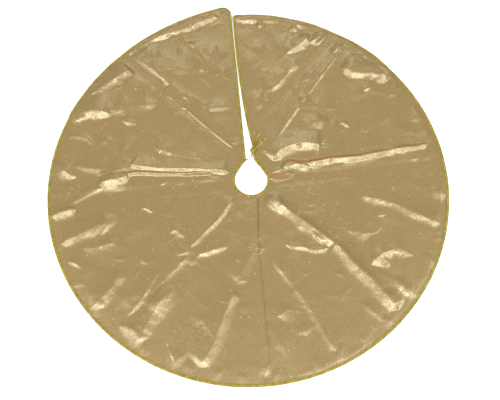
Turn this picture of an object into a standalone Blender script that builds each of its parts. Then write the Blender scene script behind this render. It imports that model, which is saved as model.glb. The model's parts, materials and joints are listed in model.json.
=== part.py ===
"""Tree skirt: a lined round cloth with a slit, bias-bound edges and a knotted tape tie at the neck.

Metres, +Z up. The skirt lies on the floor plane z = 0 and its origin is the middle of its footprint.
The slit runs from the neck hole towards +Y. The cloth is cut into stiff panels at its fold lines, so
that the half fold, both front flaps and both tie tails can turn on hinges.
"""

from math import acos, atan2, ceil, cos, floor, pi, radians, sin, tau

import bmesh
import bpy
from mathutils import Vector

# Driving dimensions. Plan positions are measured from the middle of the neck hole.
NECK_X = 0.011
NECK_Y = -0.019
NECK_R = 0.0495
NECK_SHIFT = Vector((-0.0025, 0.0))
NECK_NOTCH_ANGLE = radians(8.0)
NECK_SPARE = radians(12.0)
LEFT_NECK_SPARE = Vector((0.0, 0.010))
HEM_R = 0.610
HEM_SHIFT = Vector((-0.011, 0.002))
FLARE = 0.036
FLARE_FROM = radians(165.0)
FLARE_TO = radians(93.0)
FLARE_POWER = 2.8
HEM_STEP = radians(5.0)
SPARE = radians(2.0)
LEFT_HEM_SPARE = radians(115.0)
RIGHT_HEM_SPARE = radians(75.0)
NECK_STEP = radians(15.0)
CORNER_STEPS = 8
SLIT_STEPS = 12

LEFT_NECK_CORNER = Vector((-0.011, 0.069))
LEFT_SLIT_X = -0.004
LEFT_CORNER_R = 0.029
RIGHT_NECK_CORNER = Vector((0.023, 0.054))
RIGHT_SLIT_PULL = Vector((-0.012, 0.230))
RIGHT_SLIT_X = 0.000
RIGHT_CORNER_R = 0.017

# Cloth thicknesses and the clearance between touching pieces.
FACE_T = 0.0012
LINING_T = 0.0008
BINDING_T = 0.0006
THREAD_T = 0.0003
THREAD_W = 0.0005
GAP = 0.0003
BINDING_W = 0.008
STITCH_INSET = 0.0068
PANEL_INSET = BINDING_T + GAP

# Heights of the layers, from the floor up.
LINING_Z = BINDING_T + GAP
FACE_Z = LINING_Z + LINING_T + GAP
BINDING_H = FACE_Z + FACE_T + GAP + BINDING_T
TOP_Z = BINDING_H + GAP
HINGE_Z = TOP_Z + THREAD_T + GAP

# Fold lines: a point on each and its direction in plan.
HALF_FOLD_Y = -0.010
LEFT_FOLD_POINT = Vector((-0.011, 0.081))
LEFT_FOLD_ANGLE = radians(132.0)
RIGHT_FOLD_POINT = Vector((0.006, 0.170))
RIGHT_FOLD_ANGLE = radians(45.0)
FOLD_GAP = 0.0005

# The tape tie: its knot, the two strands that reach it and the two tails that leave it.
TAPE_W = 0.009
TAPE_T = 0.0010
KNOT_CENTRE = Vector((0.0125, 0.0965))
KNOT_SIZE = Vector((0.0075, 0.0065, 0.0040))
LEFT_STRAND = [(-0.0165, 0.0665), (-0.004, 0.0685), (0.004, 0.0715), (0.0075, 0.0790), (0.0090, 0.0890)]
LEFT_STRAND_W = 0.004
RIGHT_STRAND = [(0.0270, 0.0470), (0.0220, 0.0590), (0.0180, 0.0720), (0.0160, 0.0885)]
RIGHT_STRAND_W = 0.006
TAIL_BASES = {"left": (0.0150, 0.1075), "right": (0.0225, 0.1015)}
TAIL_TIPS = {"left": (0.0460, 0.1570), "right": (0.0565, 0.1340)}
TAIL_PINCH_W = 0.005
TAIL_PINCH_L = 0.016

GOLD_CLOTH = (0.40, 0.29, 0.12)
LINING_CLOTH = (0.50, 0.40, 0.22)
BINDING_CLOTH = (0.42, 0.33, 0.05)
THREAD_COLOUR = (0.46, 0.37, 0.08)


def clear_scene():
    for obj in list(bpy.data.objects):
        bpy.data.objects.remove(obj)


def new_collection(name):
    collection = bpy.data.collections.new(name)
    bpy.context.scene.collection.children.link(collection)
    return collection


def material(name, colour, roughness, metallic):
    mat = bpy.data.materials.new(name)
    mat.use_nodes = True
    shader = mat.node_tree.nodes["Principled BSDF"]
    shader.inputs["Base Color"].default_value = (*colour, 1.0)
    shader.inputs["Roughness"].default_value = roughness
    shader.inputs["Metallic"].default_value = metallic
    return mat


# Outlines in plan, measured from the middle of the neck hole.


def hem_point(angle):
    """A point on the hem; the left front corner flares out."""
    radius = HEM_R
    if pi / 2 < angle < FLARE_FROM:
        radius += FLARE * ((FLARE_FROM - angle) / (FLARE_FROM - FLARE_TO)) ** FLARE_POWER
    return HEM_SHIFT + Vector((radius * cos(angle), radius * sin(angle)))


def grid_angles(start, end, step):
    """start and end, with every whole multiple of step that lies between them."""
    low = min(start, end)
    high = max(start, end)
    inner = [i * step for i in range(ceil(low / step), floor(high / step) + 1)]
    clear = [angle for angle in inner if low + step / 10 < angle < high - step / 10]
    angles = [low] + clear + [high]
    return angles if start < end else angles[::-1]


def hem_arc(start, end):
    return [hem_point(angle) for angle in grid_angles(start, end, HEM_STEP)]


def round_arc(centre, radius, start, end, steps):
    points = []
    for i in range(steps + 1):
        angle = start + (end - start) * i / steps
        points.append(centre + Vector((radius * cos(angle), radius * sin(angle))))
    return points


def fold_angle(centre, radius, side, spare):
    """The polar angle where a circle crosses the half fold, on one side, plus some to spare."""
    angle = pi / 2 - acos((HALF_FOLD_Y - centre.y) / radius)
    return (pi - angle if side == "left" else angle) + spare


def hem_fold_angle(side, spare):
    return fold_angle(HEM_SHIFT, HEM_R, side, spare)


def neck_fold_angle(side, spare):
    return fold_angle(NECK_SHIFT, NECK_R, side, spare)


def corner(side_x, radius, outward):
    """The rounded corner from the slit edge at side_x to the hem; outward is -1 on the left."""
    centre = Vector((side_x + outward * radius, 0.0))
    low = 0.3
    high = HEM_R + FLARE
    for _ in range(40):
        centre.y = (low + high) / 2
        reach = (centre - HEM_SHIFT).length
        heading = centre - HEM_SHIFT
        hem = (hem_point(atan2(heading.y, heading.x)) - HEM_SHIFT).length
        if reach + radius < hem:
            low = centre.y
        else:
            high = centre.y
    heading = centre - HEM_SHIFT
    touch = atan2(heading.y, heading.x)
    start = 0.0 if outward < 0 else pi
    return round_arc(centre, radius, start, touch, CORNER_STEPS), touch


def left_edge():
    """The bound edge on the left: up the slit, round its corner and along the hem to the half fold."""
    arc, touch = corner(LEFT_SLIT_X, LEFT_CORNER_R, -1)
    hem = hem_arc(touch, hem_fold_angle("left", SPARE))
    return [LEFT_NECK_CORNER.copy()] + arc + hem[1:]


def right_slit():
    top = corner(RIGHT_SLIT_X, RIGHT_CORNER_R, 1)[0][0]
    points = []
    for i in range(SLIT_STEPS):
        t = i / SLIT_STEPS
        ends = RIGHT_NECK_CORNER * (1 - t) ** 2 + top * t ** 2
        points.append(ends + RIGHT_SLIT_PULL * 2 * t * (1 - t))
    return points


def right_edge():
    """The bound edge on the right: along the hem from the half fold, round the corner, down the slit."""
    arc, touch = corner(RIGHT_SLIT_X, RIGHT_CORNER_R, 1)
    hem = hem_arc(hem_fold_angle("right", -SPARE), touch)
    return hem[:-1] + arc[::-1] + right_slit()[::-1]


def back_edge():
    return hem_arc(hem_fold_angle("left", -SPARE), hem_fold_angle("right", tau + SPARE))


def neck_arc(start, end):
    angles = grid_angles(start, end, NECK_STEP)
    return [NECK_SHIFT + Vector((NECK_R * cos(angle), NECK_R * sin(angle))) for angle in angles]


def neck_left():
    """Up the left of the neck from the half fold, then straight to the slit corner."""
    reach = LEFT_NECK_CORNER - NECK_SHIFT
    tangent = atan2(reach.y, reach.x) + acos(NECK_R / reach.length)
    return neck_arc(neck_fold_angle("left", NECK_SPARE), tangent) + [LEFT_NECK_CORNER.copy()]


def neck_right():
    """From the slit corner straight down to the round of the neck, then to the half fold."""
    arc = neck_arc(NECK_NOTCH_ANGLE, neck_fold_angle("right", -NECK_SPARE))
    return [RIGHT_NECK_CORNER.copy()] + arc


def neck_back():
    return neck_arc(neck_fold_angle("right", tau + NECK_SPARE), neck_fold_angle("left", -NECK_SPARE))


def side_normal(a, b):
    """The unit normal on the left of the way from a to b."""
    along = (b - a).normalized()
    return Vector((-along.y, along.x))


def inset_outline(stretches):
    """Moves each stretch of a counter-clockwise outline inward by its own distance.

    stretches is a list of (points, distance); each starts where the one before it ends.
    """
    corners = []
    insets = []
    for points, distance in stretches:
        for point in points[:-1]:
            corners.append(point)
            insets.append(distance)
    count = len(corners)
    moved = []
    for i in range(count):
        before = side_normal(corners[i - 1], corners[i])
        after = side_normal(corners[i], corners[(i + 1) % count])
        d_before = insets[i - 1]
        d_after = insets[i]
        turn = before.x * after.y - before.y * after.x
        if abs(turn) < 1e-3:
            moved.append(corners[i] + (before * d_before + after * d_after) / 2)
        else:
            x = (d_before * after.y - d_after * before.y) / turn
            y = (d_after * before.x - d_before * after.x) / turn
            moved.append(corners[i] + Vector((x, y)))
    return moved


def joined(start, end):
    return [start.copy(), end.copy()]


def panel_outlines():
    """The three cloth regions as closed outlines, bound edges and fold edges inset."""
    edges = left_edge()
    neck = neck_left()
    left = [(edges, PANEL_INSET), (joined(edges[-1], neck[0]), 0.0), (neck, PANEL_INSET)]
    edges = right_edge()
    neck = neck_right()
    right = [(edges, PANEL_INSET), (neck, PANEL_INSET), (joined(neck[-1], edges[0]), 0.0)]
    edges = back_edge()
    neck = neck_back()
    right_side = joined(edges[-1], neck[0])
    left_side = joined(neck[-1], edges[0])
    back = [(edges, PANEL_INSET), (right_side, 0.0), (neck, PANEL_INSET), (left_side, 0.0)]
    return {"left": inset_outline(left), "right": inset_outline(right), "back": inset_outline(back)}


# Solids.


def face_outward(bm):
    bmesh.ops.recalc_face_normals(bm, faces=bm.faces)
    if bm.calc_volume(signed=True) < 0:
        bmesh.ops.reverse_faces(bm, faces=bm.faces)


def poly_curve(name, points, closed):
    """A flat curve object through plan points, in world place."""
    data = bpy.data.curves.new(name, "CURVE")
    data.dimensions = "2D"
    spline = data.splines.new("POLY")
    spline.points.add(len(points) - 1)
    for slot, point in zip(spline.points, points):
        slot.co = (point[0] + NECK_X, point[1] + NECK_Y, 0.0, 1.0)
    spline.use_cyclic_u = closed
    obj = bpy.data.objects.new(name, data)
    parts.objects.link(obj)
    return obj


def mesh_from(obj):
    """Turns a curve object into a welded mesh object of the same name."""
    name = obj.name
    bpy.context.view_layer.update()
    evaluated = obj.evaluated_get(bpy.context.evaluated_depsgraph_get())
    data = bpy.data.meshes.new_from_object(evaluated)
    place = obj.matrix_world.copy()
    bpy.data.objects.remove(obj)
    data.transform(place)
    bm = bmesh.new()
    bm.from_mesh(data)
    bmesh.ops.remove_doubles(bm, verts=bm.verts, dist=1e-6)
    face_outward(bm)
    bm.to_mesh(data)
    bm.free()
    data.name = name
    result = bpy.data.objects.new(name, data)
    parts.objects.link(result)
    return result


def slab(name, outline, low, thickness):
    """A flat sheet of the given outline, from the height low upwards."""
    obj = poly_curve(name, outline, True)
    obj.data.fill_mode = "BOTH"
    obj.data.extrude = thickness / 2
    obj.location.z = low + thickness / 2
    return mesh_from(obj)


def swept(name, path, profile, height=0.0):
    """A strip of the given cross-section along a path; its inside lies on the path's left."""
    section = bpy.data.curves.new(name + "_section", "CURVE")
    section.dimensions = "2D"
    spline = section.splines.new("POLY")
    spline.points.add(len(profile) - 1)
    for slot, (across, up) in zip(spline.points, profile):
        slot.co = (-across, up, 0.0, 1.0)
    spline.use_cyclic_u = True
    guide = bpy.data.objects.new(name + "_section", section)
    guide.hide_render = True
    guide.display_type = "WIRE"
    cutters.objects.link(guide)
    obj = poly_curve(name, path, False)
    obj.data.bevel_mode = "OBJECT"
    obj.data.bevel_object = guide
    obj.data.use_fill_caps = True
    obj.data.fill_mode = "NONE"
    obj.location.z = height
    result = mesh_from(obj)
    bpy.data.objects.remove(guide)
    return result


def channel_profile():
    """The bias binding folded over an edge: a web and two leaves."""
    inner = BINDING_T
    top = BINDING_H
    width = BINDING_W
    return [
        (0.0, 0.0), (width, 0.0), (width, inner), (inner, inner),
        (inner, top - inner), (width, top - inner), (width, top), (0.0, top),
    ]


def flat_profile(near, far, thickness):
    return [(near, 0.0), (far, 0.0), (far, thickness), (near, thickness)]


def binding(name, path):
    return swept(name, path, channel_profile())


def stitching(name, path):
    """The thread of the line of topstitching, along the binding's inner edge."""
    profile = flat_profile(STITCH_INSET, STITCH_INSET + THREAD_W, THREAD_T)
    return swept(name, path, profile, TOP_Z)


def cut_at_fold(obj, fold, keep_left):
    """Keeps the part of a solid on one side of a fold line."""
    point, angle = FOLDS[fold]
    bm = bmesh.new()
    bm.from_mesh(obj.data)
    normal = Vector((-sin(angle), cos(angle), 0.0))
    if not keep_left:
        normal = -normal
    place = Vector((point.x + NECK_X, point.y + NECK_Y, 0.0)) + normal * FOLD_GAP / 2
    geometry = bm.verts[:] + bm.edges[:] + bm.faces[:]
    bmesh.ops.bisect_plane(
        bm, geom=geometry, dist=1e-7, plane_co=place, plane_no=normal, clear_inner=True
    )
    rim = [edge for edge in bm.edges if edge.is_boundary]
    bmesh.ops.holes_fill(bm, edges=rim, sides=0)
    face_outward(bm)
    bm.to_mesh(obj.data)
    bm.free()


def pivot(name, x, y, z):
    empty = bpy.data.objects.new(name, None)
    empty.empty_display_size = 0.03
    empty.location = (x + NECK_X, y + NECK_Y, z)
    parts.objects.link(empty)
    return empty


def finish(obj, mat, body):
    """Gives a solid its material and hangs it on its body's pivot."""
    obj.data.materials.clear()
    obj.data.materials.append(mat)
    body_place = body.location.copy()
    for vertex in obj.data.vertices:
        vertex.co -= body_place
    obj.parent = body
    obj.data.set_sharp_from_angle(angle=radians(30.0))


def trimmed(obj, cuts, kind, body_name):
    """Cuts a solid at each fold line named in cuts and hands it to its body."""
    for fold, keep_left in cuts.items():
        cut_at_fold(obj, fold, keep_left)
    finish(obj, MATERIALS[kind], BODIES[body_name])


def cloth_panels(body_name, outline, cuts):
    """The face and the lining of one panel."""
    trimmed(slab(f"face_{body_name}", outline, FACE_Z, FACE_T), cuts, "face", body_name)
    trimmed(slab(f"lining_{body_name}", outline, LINING_Z, LINING_T), cuts, "lining", body_name)


def bound_edge(kind, body_name, path, cuts):
    """The binding along an edge and its line of topstitching."""
    trimmed(binding(f"{kind}_binding_{body_name}", path), cuts, "binding", body_name)
    trimmed(stitching(f"{kind}_stitching_{body_name}", path), cuts, "stitching", body_name)


def tape_strand(name, path, width, body):
    points = [Vector(point) for point in path]
    profile = flat_profile(-width / 2, width / 2, TAPE_T)
    finish(swept(name, points, profile, TOP_Z + THREAD_T + GAP), MATERIALS["tie"], body)


def tie_knot(body):
    bpy.ops.mesh.primitive_uv_sphere_add(segments=16, ring_count=10, radius=1.0)
    obj = bpy.context.object
    obj.name = "tie_knot"
    bpy.context.collection.objects.unlink(obj)
    parts.objects.link(obj)
    height = TOP_Z + THREAD_T + GAP + KNOT_SIZE.z
    for vertex in obj.data.vertices:
        vertex.co = vertex.co * KNOT_SIZE
        vertex.co += Vector((KNOT_CENTRE.x + NECK_X, KNOT_CENTRE.y + NECK_Y, height))
    obj.data.shade_smooth()
    finish(obj, MATERIALS["tie"], body)


def tie_tail(side, body):
    """A tape tail that leaves the knot pinched and opens to its full width."""
    base = Vector(TAIL_BASES[side])
    tip = Vector(TAIL_TIPS[side])
    along = (tip - base).normalized()
    across = Vector((-along.y, along.x))
    opened = base + along * TAIL_PINCH_L
    outline = [
        base + across * TAIL_PINCH_W / 2, base - across * TAIL_PINCH_W / 2,
        opened - across * TAPE_W / 2, tip - across * TAPE_W / 2,
        tip + across * TAPE_W / 2, opened + across * TAPE_W / 2,
    ]
    obj = slab(f"tie_tail_{side}", outline, TOP_Z + THREAD_T + GAP, TAPE_T)
    finish(obj, MATERIALS["tie"], body)


clear_scene()
parts = new_collection("tree_skirt")
cutters = new_collection("guides")

MATERIALS = {
    "face": material("gold_lame", GOLD_CLOTH, 0.32, 0.75),
    "lining": material("lining_cloth", LINING_CLOTH, 0.70, 0.0),
    "binding": material("bias_binding", BINDING_CLOTH, 0.45, 0.20),
    "stitching": material("topstitch_thread", THREAD_COLOUR, 0.60, 0.0),
    "tie": material("tie_tape", BINDING_CLOTH, 0.45, 0.20),
}
FOLDS = {
    "half": (Vector((0.0, HALF_FOLD_Y)), 0.0),
    "left": (LEFT_FOLD_POINT, LEFT_FOLD_ANGLE),
    "right": (RIGHT_FOLD_POINT, RIGHT_FOLD_ANGLE),
}
front_place = pivot("front_place", 0.0, 0.0, 0.0)
BODIES = {
    "front_left": front_place,
    "front_right": front_place,
    "back": pivot("half_fold_pivot", 0.0, HALF_FOLD_Y, HINGE_Z),
    "left_flap": pivot("left_flap_pivot", LEFT_FOLD_POINT.x, LEFT_FOLD_POINT.y, HINGE_Z),
    "right_flap": pivot("right_flap_pivot", RIGHT_FOLD_POINT.x, RIGHT_FOLD_POINT.y, HINGE_Z),
}

FRONT_LEFT = {"half": True, "left": True}
LEFT_FLAP = {"left": False}
FRONT_RIGHT = {"half": True, "right": False}
RIGHT_FLAP = {"right": True}
BACK = {"half": False}

outlines = panel_outlines()
cloth_panels("front_left", outlines["left"], FRONT_LEFT)
cloth_panels("left_flap", outlines["left"], LEFT_FLAP)
cloth_panels("front_right", outlines["right"], FRONT_RIGHT)
cloth_panels("right_flap", outlines["right"], RIGHT_FLAP)
cloth_panels("back", outlines["back"], BACK)

bound_edge("hem", "front_left", hem_arc(LEFT_HEM_SPARE, hem_fold_angle("left", SPARE)), FRONT_LEFT)
bound_edge("hem", "front_right", hem_arc(hem_fold_angle("right", -SPARE), RIGHT_HEM_SPARE), FRONT_RIGHT)
bound_edge("hem", "back", back_edge(), BACK)
bound_edge("edge", "left_flap", left_edge(), LEFT_FLAP)
bound_edge("edge", "right_flap", right_edge(), RIGHT_FLAP)
bound_edge("slit", "front_right", right_slit()[::-1], {"right": False})
bound_edge("neck", "front_left", neck_left() + [LEFT_FOLD_POINT + LEFT_NECK_SPARE], FRONT_LEFT)
bound_edge("neck", "front_right", neck_right()[1:], {"half": True})
bound_edge("neck", "back", neck_back(), BACK)

tape_strand("tie_strand_left", LEFT_STRAND, LEFT_STRAND_W, front_place)
tape_strand("tie_strand_right", RIGHT_STRAND, RIGHT_STRAND_W, front_place)
tie_knot(front_place)
for tail in TAIL_BASES:
    base_x, base_y = TAIL_BASES[tail]
    tie_tail(tail, pivot(f"tie_tail_{tail}_pivot", base_x, base_y, TOP_Z + THREAD_T + GAP))
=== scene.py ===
import json
from math import acos, atan2, cos, pi, radians, sin, tau

import bpy
import numpy as np
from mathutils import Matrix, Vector, kdtree


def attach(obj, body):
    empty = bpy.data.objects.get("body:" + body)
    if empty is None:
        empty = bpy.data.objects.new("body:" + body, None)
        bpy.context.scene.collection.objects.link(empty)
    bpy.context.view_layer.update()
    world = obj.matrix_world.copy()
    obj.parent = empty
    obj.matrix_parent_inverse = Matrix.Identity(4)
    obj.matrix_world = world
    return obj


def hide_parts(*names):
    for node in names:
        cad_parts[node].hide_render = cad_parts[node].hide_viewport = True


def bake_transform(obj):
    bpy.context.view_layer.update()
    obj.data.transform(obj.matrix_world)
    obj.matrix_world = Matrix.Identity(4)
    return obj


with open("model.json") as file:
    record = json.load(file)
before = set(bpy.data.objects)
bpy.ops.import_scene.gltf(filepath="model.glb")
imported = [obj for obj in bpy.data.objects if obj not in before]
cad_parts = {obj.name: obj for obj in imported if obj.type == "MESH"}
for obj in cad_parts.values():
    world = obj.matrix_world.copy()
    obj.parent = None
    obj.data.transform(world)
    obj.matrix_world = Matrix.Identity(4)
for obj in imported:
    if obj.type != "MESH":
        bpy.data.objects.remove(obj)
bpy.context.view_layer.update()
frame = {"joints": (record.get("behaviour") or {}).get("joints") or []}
joints = {joint["name"]: joint for joint in frame["joints"]}

# The middle of the neck hole, 10 mm in front of the half fold. Plan positions are metres from it.
NECK = Vector(joints["half_fold"]["pos_m"]) + Vector((0.0, 0.010, 0.0))
NECK.z = 0.0
UP = np.array((0.0, 0.0, 1.0))
MM = 1000.0

# The sewn outline, as in the CAD.
NECK_R = 0.0495
NECK_SHIFT = np.array((-0.0025, 0.0))
NECK_NOTCH_ANGLE = radians(8.0)
HEM_R = 0.610
HEM_SHIFT = np.array((-0.011, 0.002))
FLARE = 0.036
FLARE_FROM = radians(165.0)
FLARE_TO = radians(93.0)
FLARE_POWER = 2.8
LEFT_NECK_CORNER = np.array((-0.011, 0.069))
LEFT_SLIT_X = -0.004
LEFT_CORNER_R = 0.029
RIGHT_NECK_CORNER = np.array((0.023, 0.054))
RIGHT_SLIT_PULL = np.array((-0.012, 0.230))
RIGHT_SLIT_X = 0.000
RIGHT_CORNER_R = 0.017
BINDING_W = 0.008

# Heights of the cloth layers where everything lies flat, and their thicknesses.
LINING_Z = 0.00120
LINING_T = 0.00030
FACE_Z = 0.00180
FACE_T = 0.00036
BINDING_LOW = 0.00045
BINDING_HIGH = 0.00265
LEAF_T = 0.00045
EDGE_INSET = 0.0011

# The lines that the skirt is folded on: across the middle, and a point and a heading for each flap.
HALF_FOLD_Y = -0.010
LEFT_FOLD = np.array((-0.011, 0.081))
LEFT_FOLD_OUT = np.array((sin(radians(132)), -cos(radians(132))))
RIGHT_FOLD = np.array((0.006, 0.170))
RIGHT_FOLD_OUT = np.array((-sin(radians(45)), cos(radians(45))))


# ---------------------------------------------------------------- plan outline


def hem_radius(angle):
    angle = np.asarray(angle, float)
    share = np.clip((FLARE_FROM - angle) / (FLARE_FROM - FLARE_TO), 0.0, 1.2)
    flare = np.where(angle > pi / 2, FLARE * share**FLARE_POWER, 0.0)
    return HEM_R + np.where(angle < FLARE_FROM, flare, 0.0)


def direction(angle):
    """The unit vector, or vectors, that point along an angle in plan."""
    return np.stack([np.cos(angle), np.sin(angle)], axis=-1)


def polar(centre, radius, angle):
    return centre + np.stack([radius * np.cos(angle), radius * np.sin(angle)], axis=-1)


def rounded_corner(side_x, radius, outward):
    """The centre of a slit corner's arc and the hem angle where the arc meets the hem."""
    low, high = 0.3, HEM_R + FLARE
    for _ in range(40):
        y = (low + high) / 2
        way = np.array((side_x + outward * radius, y)) - HEM_SHIFT
        touch = atan2(way[1], way[0])
        inside = np.hypot(*way) + radius < hem_radius(touch)
        low, high = (y, high) if inside else (low, y)
    return np.array((side_x + outward * radius, y)), touch


def read_along(at, reach, points):
    """The places on a path at the given reaches along it."""
    return np.stack([np.interp(at, reach, column) for column in points.T], axis=-1)


def along(points, spacing):
    """The polyline through points, cut again at an even spacing."""
    points = np.asarray(points, float)
    reach = path_reach(points)
    count = max(2, round(reach[-1] / spacing))
    return read_along(np.linspace(0.0, reach[-1], count + 1), reach, points)


def path_reach(points):
    return np.concatenate([[0.0], np.cumsum(np.linalg.norm(np.diff(points, axis=0), axis=1))])


def hem_outline(spacing):
    """From the top of the left slit edge round the whole hem to the top of the right slit edge."""
    left, left_touch = rounded_corner(LEFT_SLIT_X, LEFT_CORNER_R, -1)
    right, right_touch = rounded_corner(RIGHT_SLIT_X, RIGHT_CORNER_R, 1)
    left_arc = polar(left, LEFT_CORNER_R, np.linspace(0.0, left_touch, 40))
    angles = np.linspace(left_touch, right_touch + tau, 1600)
    wrapped = np.where(angles > tau, angles - tau, angles)
    hem = polar(HEM_SHIFT, hem_radius(wrapped), angles)
    right_arc = polar(right, RIGHT_CORNER_R, np.linspace(right_touch, pi, 40))
    return along(np.concatenate([left_arc, hem[1:-1], right_arc]), spacing)


def neck_outline(spacing):
    """From the left neck corner round the hole to the right neck corner."""
    reach = LEFT_NECK_CORNER - NECK_SHIFT
    tangent = atan2(reach[1], reach[0]) + acos(NECK_R / np.hypot(*reach))
    arc = polar(NECK_SHIFT, NECK_R, np.linspace(tangent, tau + NECK_NOTCH_ANGLE, 240))
    return along(np.concatenate([[LEFT_NECK_CORNER], arc, [RIGHT_NECK_CORNER]]), spacing)


def right_slit(t):
    """The curved right slit edge, from the neck corner at t = 0 to the hem corner at t = 1."""
    top = np.array((RIGHT_SLIT_X, rounded_corner(RIGHT_SLIT_X, RIGHT_CORNER_R, 1)[0][1]))
    t = np.asarray(t, float)[..., None]
    return RIGHT_NECK_CORNER * (1 - t) ** 2 + RIGHT_SLIT_PULL * 2 * t * (1 - t) + top * t**2


def inward(points):
    """Unit normals on the left of the way along an open path, which is where the cloth lies."""
    way = np.gradient(points, axis=0)
    way /= np.hypot(*way.T)[:, None]
    return np.stack([-way[:, 1], way[:, 0]], axis=1)


# ---------------------------------------------------------------- folds of the cloth


def smooth(t):
    t = np.clip(t, 0.0, 1.0)
    return t * t * (3.0 - 2.0 * t)


NOISE_CELLS = 64


def gradient_noise(x, y, seed):
    """Smooth noise between about -1 and 1 with one wave to a unit, the same each run."""
    table = np.random.RandomState(seed).uniform(0.0, tau, (NOISE_CELLS, NOISE_CELLS))
    xi, yi = np.floor(x).astype(int), np.floor(y).astype(int)
    xf, yf = x - xi, y - yi

    def corner(dx, dy):
        angle = table[(xi + dx) % NOISE_CELLS, (yi + dy) % NOISE_CELLS]
        return np.cos(angle) * (xf - dx) + np.sin(angle) * (yf - dy)

    u = xf**3 * (xf * (xf * 6.0 - 15.0) + 10.0)
    v = yf**3 * (yf * (yf * 6.0 - 15.0) + 10.0)
    low = corner(0, 0) * (1 - u) + corner(1, 0) * u
    high = corner(0, 1) * (1 - u) + corner(1, 1) * u
    return 1.5 * (low * (1 - v) + high * v)


def noise_at(x, y, size, seed):
    """The noise with waves of the given size in metres."""
    return gradient_noise(x / size, y / size, seed)


def smooth_line(points, pieces):
    """A smooth line through the given points in plan or in space (Catmull-Rom)."""
    points = np.asarray(points, float)
    first, last = 2 * points[0] - points[1], 2 * points[-1] - points[-2]
    padded = np.concatenate([[first], points, [last]])
    t = np.linspace(0.0, 1.0, pieces, endpoint=False)[:, None]
    line = []
    for a, b, c, d in zip(padded, padded[1:], padded[2:], padded[3:]):
        line.append(0.5 * (2 * b + (c - a) * t + (2 * a - 5 * b + 4 * c - d) * t**2
                           + (3 * b - a - 3 * c + d) * t**3))
    return np.concatenate(line + [points[-1:]])


def fold_line(points):
    """The smooth line of a fold or a crease, in metres, from points in millimetres."""
    return smooth_line(points, 6) / MM


def measure_along(x, y, line):
    """For each place: how far from a line, the side (1 on the left), and how far along, 0 to 1."""
    steps = np.hypot(*np.diff(line, axis=0).T)
    reach = np.concatenate([[0.0], np.cumsum(steps)])
    best = np.full(x.shape, 1e9)
    side = np.ones(x.shape)
    share = np.zeros(x.shape)
    for i, step in enumerate(steps):
        ax, ay = line[i]
        tx, ty = (line[i + 1] - line[i]) / step
        t = np.clip((x - ax) * tx + (y - ay) * ty, 0.0, step)
        dx, dy = x - ax - t * tx, y - ay - t * ty
        d = np.hypot(dx, dy)
        near = d < best
        best = np.where(near, d, best)
        side = np.where(near, np.where(tx * dy - ty * dx >= 0, 1.0, -1.0), side)
        share = np.where(near, (reach[i] + t) / reach[-1], share)
    return best, side, share


# The way towards the light in plan, how round a crest is, and how far a slope's foot runs out.
LIT_SIDE = np.array((-0.35, -0.94))
CREST_ROUND = 0.0010
FOOT_REACH = 2.2


def slope_profile(d, width, foot):
    """1 at a crest, falling evenly to 0 at width, with a foot that is rounded more or less."""
    t = d / width
    top = 0.5 * (1.0 + np.sqrt(1.0 + foot))
    slope = 0.5 * (1.0 - t + np.sqrt((1.0 - t) ** 2 + foot)) / top
    return slope * np.clip(FOOT_REACH - t, 0.0, 1.0)


def ridge(x, y, points, height, lit, back, seed, ends=30.0, ragged=0.34, foot=0.03):
    """A fold's height: a crest along the points, lit wide towards the light and back wide behind.

    All its sizes are in millimetres from the middle of the neck hole. It dies away over ends at
    either end, ragged is how much its width and height wander along it, and foot rounds the foot
    of its lit side.
    """
    line = fold_line(points)
    chord = line[-1] - line[0]
    if np.dot((-chord[1], chord[0]), LIT_SIDE) < 0:
        line = line[::-1]
    reach = FOOT_REACH * max(lit * 1.6, back) / MM
    low, high = line.min(axis=0) - reach, line.max(axis=0) + reach
    inside = (x > low[0]) & (x < high[0]) & (y > low[1]) & (y < high[1])
    rise = np.zeros(x.shape)
    if not inside.any():
        return rise
    d, side, share = measure_along(x[inside], y[inside], line)
    length = path_reach(line)[-1]
    row = side * 0.0 + seed
    uneven = gradient_noise(share * length / 0.070 + 9.0 * seed, row, 11)
    uneven = uneven + 0.22 * gradient_noise(share * length / 0.019 + 5.0 * seed, row, 12)
    d = np.sqrt(d**2 + CREST_ROUND**2) - CREST_ROUND
    fade = min(0.5, ends / MM / length)
    taper = np.sqrt(smooth(share / fade) * smooth((1.0 - share) / fade))
    size = taper * np.clip(1.0 + ragged * uneven, 0.5, 1.5)
    lit_part = slope_profile(d, lit / MM * np.maximum(size, 0.05), foot)
    back_part = slope_profile(d, back / MM * np.maximum(taper, 0.05), 0.10)
    rise[inside] = height / MM * size * np.where(side > 0, lit_part, back_part)
    return rise


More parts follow.
